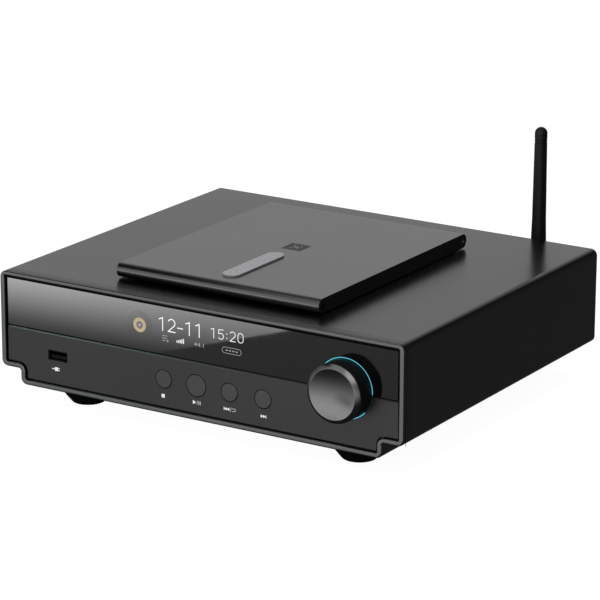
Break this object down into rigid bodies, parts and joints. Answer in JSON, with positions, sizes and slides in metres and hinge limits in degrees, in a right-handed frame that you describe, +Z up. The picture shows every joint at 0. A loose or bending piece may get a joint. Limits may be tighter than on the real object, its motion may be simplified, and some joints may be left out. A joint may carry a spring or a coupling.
{
  "type": "cd player",
  "caption": "Desktop CD player: hinged top lid over a sunken disc well, dark display, push buttons, turn-and-press knob with lit ring, rear sockets and a folding aerial.",
  "frame": {"origin": "centre of the footprint of the whole object, on the surface that the feet stand on", "axes": "+X across the housing to the right seen from the front, +Y from the front to the back, +Z up"},
  "size_m": [0.27, 0.254, 0.1445],
  "materials": {
    "housing_metal": "fine satin anodised, dark grey",
    "frame_metal": "fine bead-blasted anodised, grey",
    "panel_metal": "fine satin anodised, near black",
    "display_glass": "dark gloss with a lit display behind",
    "display_black": "matt black",
    "tray_metal": "matt black powder coat",
    "window_pale": "satin pale grey",
    "moulded_black": "fine texture, black",
    "knob_black": "smooth black",
    "knob_metal": "turned, satin",
    "ring_light": "clear, lit from behind",
    "button_metal": "satin, near black",
    "black_rubber": "matt",
    "steel": "zinc plated",
    "dark_steel": "black oxide",
    "brass": "gold plated",
    "board_green": "solder mask",
    "winding": "enamelled copper",
    "lens": "coated",
    "white_plastic": "natural"
  },
  "bodies": {
    "housing": {"top_cover": "housing_metal", "base_tray": "tray_metal", "front_frame": "frame_metal", "front_panel": "panel_metal", "display_window": "display_glass", "display_module": "display_black", "rear_panel": "tray_metal", "foot_screws": "dark_steel", "case_screws": "dark_steel", "chassis_screws": "steel", "hinge_bracket_left": "steel", "hinge_bracket_right": "steel", "disc_well": "moulded_black", "deck_plate": "steel", "deck_dampers": "black_rubber", "deck_screws": "steel", "spindle_motor": "steel", "guide_rods": "steel", "sled_motor": "steel", "front_board": "board_green", "encoder_body": "steel", "light_ring": "ring_light", "usb_socket": "steel", "mains_inlet": "moulded_black", "balanced_socket": "steel", "coax_socket": "brass", "optical_socket": "moulded_black", "aerial_connector": "brass", "main_board": "board_green", "power_board": "board_green", "transformer": "winding", "foot_front_left": "black_rubber", "foot_front_right": "black_rubber", "foot_rear_left": "black_rubber", "foot_rear_right": "black_rubber"},
    "lid": {"lid_plate": "housing_metal", "lid_liner": "moulded_black", "lid_window": "window_pale", "lid_screws": "dark_steel", "lid_bumpers": "black_rubber", "hinge_pins": "steel", "clamp_cage": "moulded_black"},
    "clamp": {"clamp_puck": "moulded_black", "clamp_magnet": "steel"},
    "stop_key": {"stop_button": "button_metal"},
    "play_key": {"play_button": "button_metal"},
    "previous_key": {"previous_button": "button_metal"},
    "next_key": {"next_button": "button_metal"},
    "knob_press_collar": {"encoder_plunger": "white_plastic"},
    "knob": {"knob_cap": "knob_metal", "knob_body": "knob_black", "encoder_shaft": "steel"},
    "aerial_foot": {"aerial_knuckle": "moulded_black"},
    "aerial": {"aerial_whip": "moulded_black"},
    "mains_switch": {"mains_rocker": "moulded_black"},
    "platter": {"turntable": "moulded_black", "spindle_shaft": "steel"},
    "sled": {"laser_sled": "moulded_black", "objective_lens": "lens"},
    "sled_gear": {"feed_gear": "white_plastic"}
  },
  "joints": [
    {"name": "lid_hinge", "type": "hinge", "parent": "housing", "child": "lid", "pos_m": [0, 0.06775, 0.0834], "axis": [-1, 0, 0], "range_deg": [0, 75]},
    {"name": "clamp_spin", "type": "hinge", "parent": "lid", "child": "clamp", "pos_m": [0, -0.01065, 0.07555], "axis": [0, 0, 1], "continuous": true},
    {"name": "stop_press", "type": "slide", "parent": "housing", "child": "stop_key", "axis": [0, 1, 0], "range_m": [0, 0.0008], "stiffness_N_per_m": 1200, "springref_m": -0.0004},
    {"name": "play_press", "type": "slide", "parent": "housing", "child": "play_key", "axis": [0, 1, 0], "range_m": [0, 0.0008], "stiffness_N_per_m": 1200, "springref_m": -0.0004},
    {"name": "previous_press", "type": "slide", "parent": "housing", "child": "previous_key", "axis": [0, 1, 0], "range_m": [0, 0.0008], "stiffness_N_per_m": 1200, "springref_m": -0.0004},
    {"name": "next_press", "type": "slide", "parent": "housing", "child": "next_key", "axis": [0, 1, 0], "range_m": [0, 0.0008], "stiffness_N_per_m": 1200, "springref_m": -0.0004},
    {"name": "knob_press", "type": "slide", "parent": "housing", "child": "knob_press_collar", "axis": [0, 1, 0], "range_m": [0, 0.0006], "stiffness_N_per_m": 3000, "springref_m": -0.0006},
    {"name": "knob_turn", "type": "hinge", "parent": "knob_press_collar", "child": "knob", "pos_m": [0.0972, -0.115, 0.04785], "axis": [0, 1, 0], "continuous": true},
    {"name": "aerial_swivel", "type": "hinge", "parent": "housing", "child": "aerial_foot", "pos_m": [0.0895, 0.114, 0.052], "axis": [0, 1, 0], "range_deg": [-90, 90]},
    {"name": "aerial_tilt", "type": "hinge", "parent": "aerial_foot", "child": "aerial", "pos_m": [0.0895, 0.122, 0.052], "axis": [-1, 0, 0], "range_deg": [0, 90]},
    {"name": "mains_rock", "type": "hinge", "parent": "housing", "child": "mains_switch", "pos_m": [-0.072, 0.107, 0.045], "axis": [-1, 0, 0], "range_deg": [0, 20]},
    {"name": "platter_spin", "type": "hinge", "parent": "housing", "child": "platter", "pos_m": [0, -0.01065, 0.068], "axis": [0, 0, 1], "continuous": true},
    {"name": "sled_slide", "type": "slide", "parent": "housing", "child": "sled", "axis": [1, 0, 0], "range_m": [0, 0.034]},
    {"name": "gear_spin", "type": "hinge", "parent": "housing", "child": "sled_gear", "pos_m": [0.041, -0.03745, 0.0554], "axis": [0, 0, 1], "range_deg": [-308, 2]}
  ],
  "couplings": [
    {"joint": "gear_spin", "follows": "sled_slide", "rad_per_m": -156.25}
  ]
}
